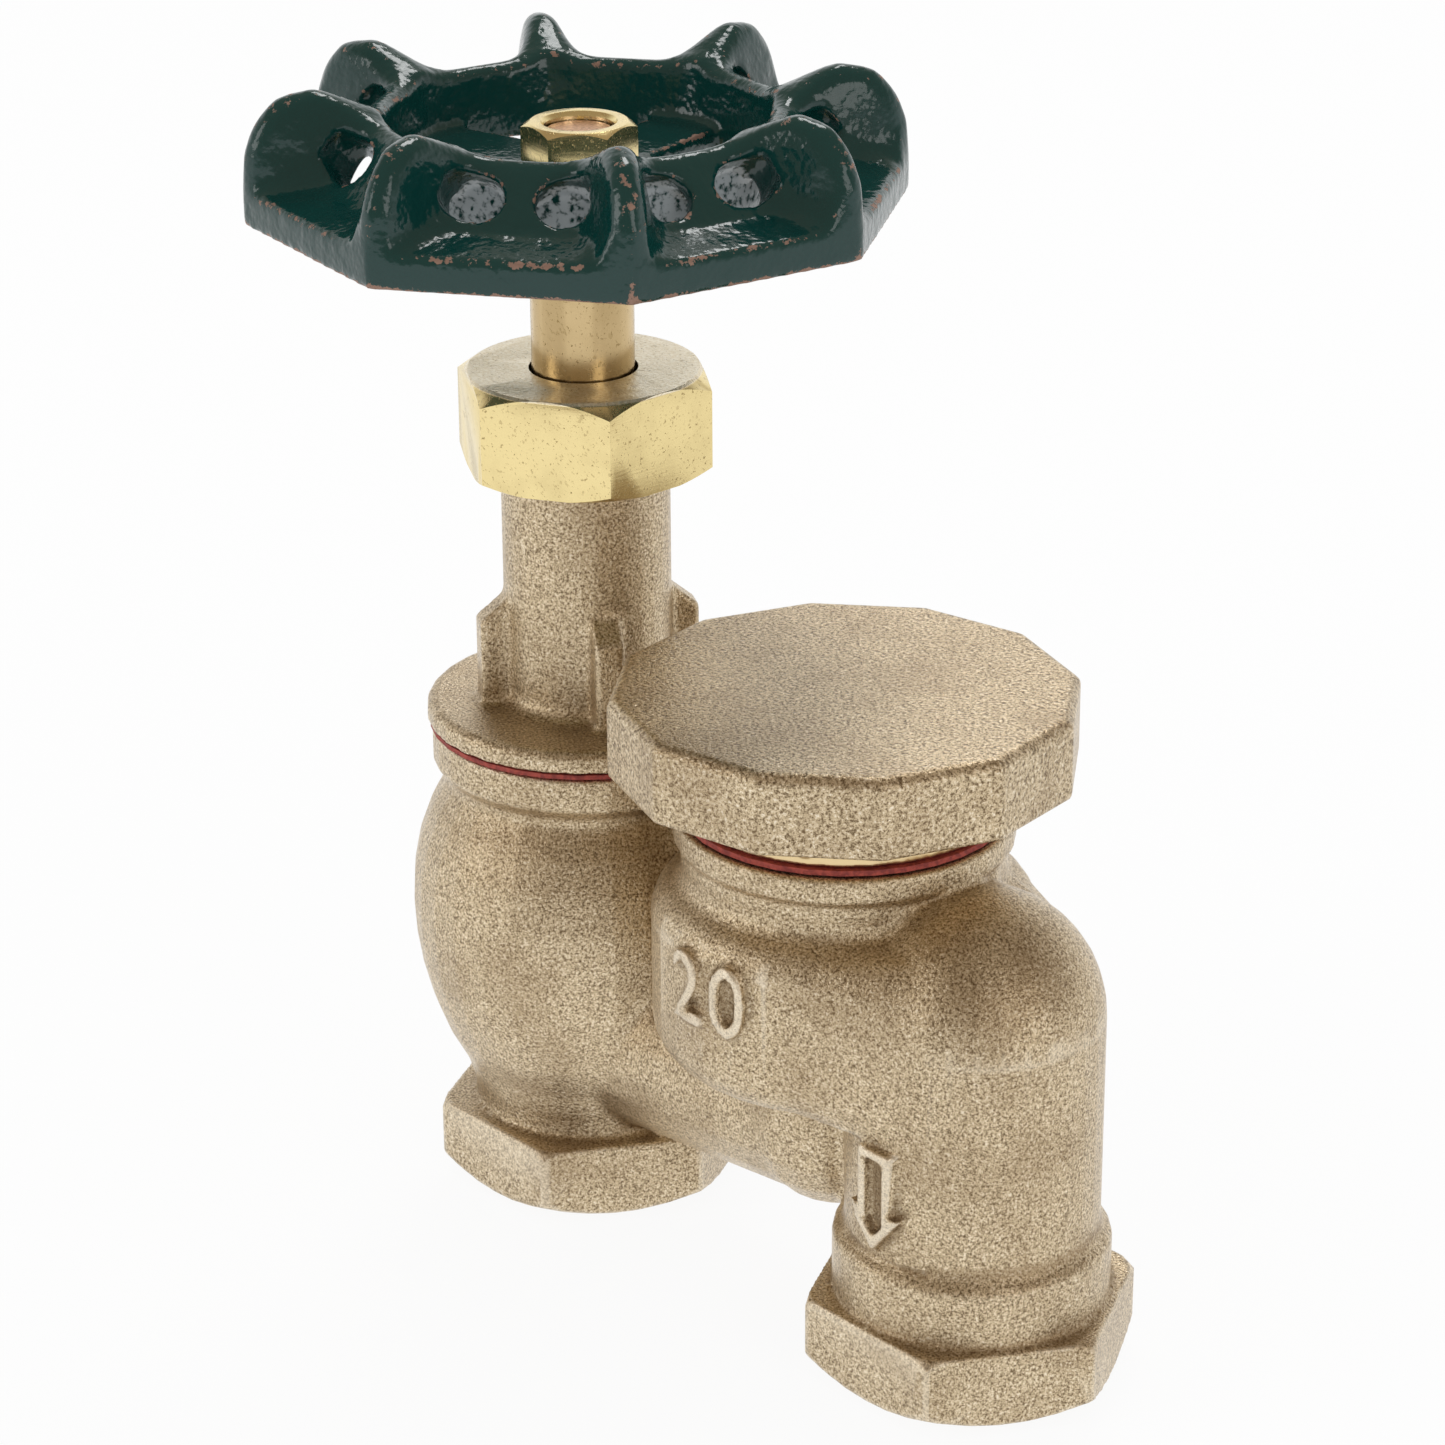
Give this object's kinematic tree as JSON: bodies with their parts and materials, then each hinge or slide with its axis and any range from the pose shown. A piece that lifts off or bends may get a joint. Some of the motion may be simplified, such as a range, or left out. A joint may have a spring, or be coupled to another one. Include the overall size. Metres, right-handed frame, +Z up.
{
  "type": "anti-siphon globe valve",
  "caption": "Cast bronze globe valve with a lobed handwheel, a capped vacuum breaker and a drop outlet leg, for stopping water and keeping it from flowing back.",
  "frame": {"origin": "centre of the bounding box's underside, on the plane of the two pipe socket faces", "axes": "+Z up along the stem, +X from the inlet axis through the cap axis to the outlet axis"},
  "size_m": [0.1178, 0.0722, 0.133],
  "materials": {
    "cast_bronze": "sand cast, grainy and dull",
    "bright_brass": "machined bright, fine tool marks",
    "stem_brass": "turned",
    "green_enamel": "gloss enamel over a rough casting, chipped at the edges",
    "red_fibre": "pressed fibre sheet",
    "graphite_packing": "braided graphite yarn",
    "black_rubber": "moulded",
    "float_plastic": "moulded"
  },
  "bodies": {
    "valve_body": {"body": "cast_bronze", "bonnet": "cast_bronze", "bonnet_gasket": "red_fibre", "packing_nut": "bright_brass", "packing_gland": "stem_brass", "packing_ring_1": "graphite_packing", "packing_ring_2": "graphite_packing", "packing_ring_3": "graphite_packing", "vacuum_breaker_cap": "cast_bronze", "cap_gasket": "red_fibre", "air_seat_ring": "stem_brass"},
    "disc": {"disc_holder": "stem_brass", "seat_washer": "black_rubber", "seat_washer_screw": "stem_brass", "disc_lock_nut": "stem_brass"},
    "stem_and_wheel": {"stem": "stem_brass", "handwheel": "green_enamel", "handwheel_nut": "bright_brass"},
    "float_poppet": {"float": "float_plastic", "float_seal": "black_rubber", "float_washer": "stem_brass", "float_nut": "stem_brass"}
  },
  "joints": [
    {"name": "disc_lift", "type": "slide", "parent": "valve_body", "child": "disc", "axis": [0, 0, 1], "range_m": [0, 0.008]},
    {"name": "handwheel_turn", "type": "hinge", "parent": "disc", "child": "stem_and_wheel", "pos_m": [-0.02285, 0, 0.118], "axis": [0, 0, 1], "range_deg": [0, 1133]},
    {"name": "float_lift", "type": "slide", "parent": "valve_body", "child": "float_poppet", "axis": [0, 0, 1], "range_m": [0, 0.0084]}
  ],
  "couplings": [
    {"joint": "disc_lift", "follows": "handwheel_turn", "m_per_rad": 0.00040425}
  ]
}
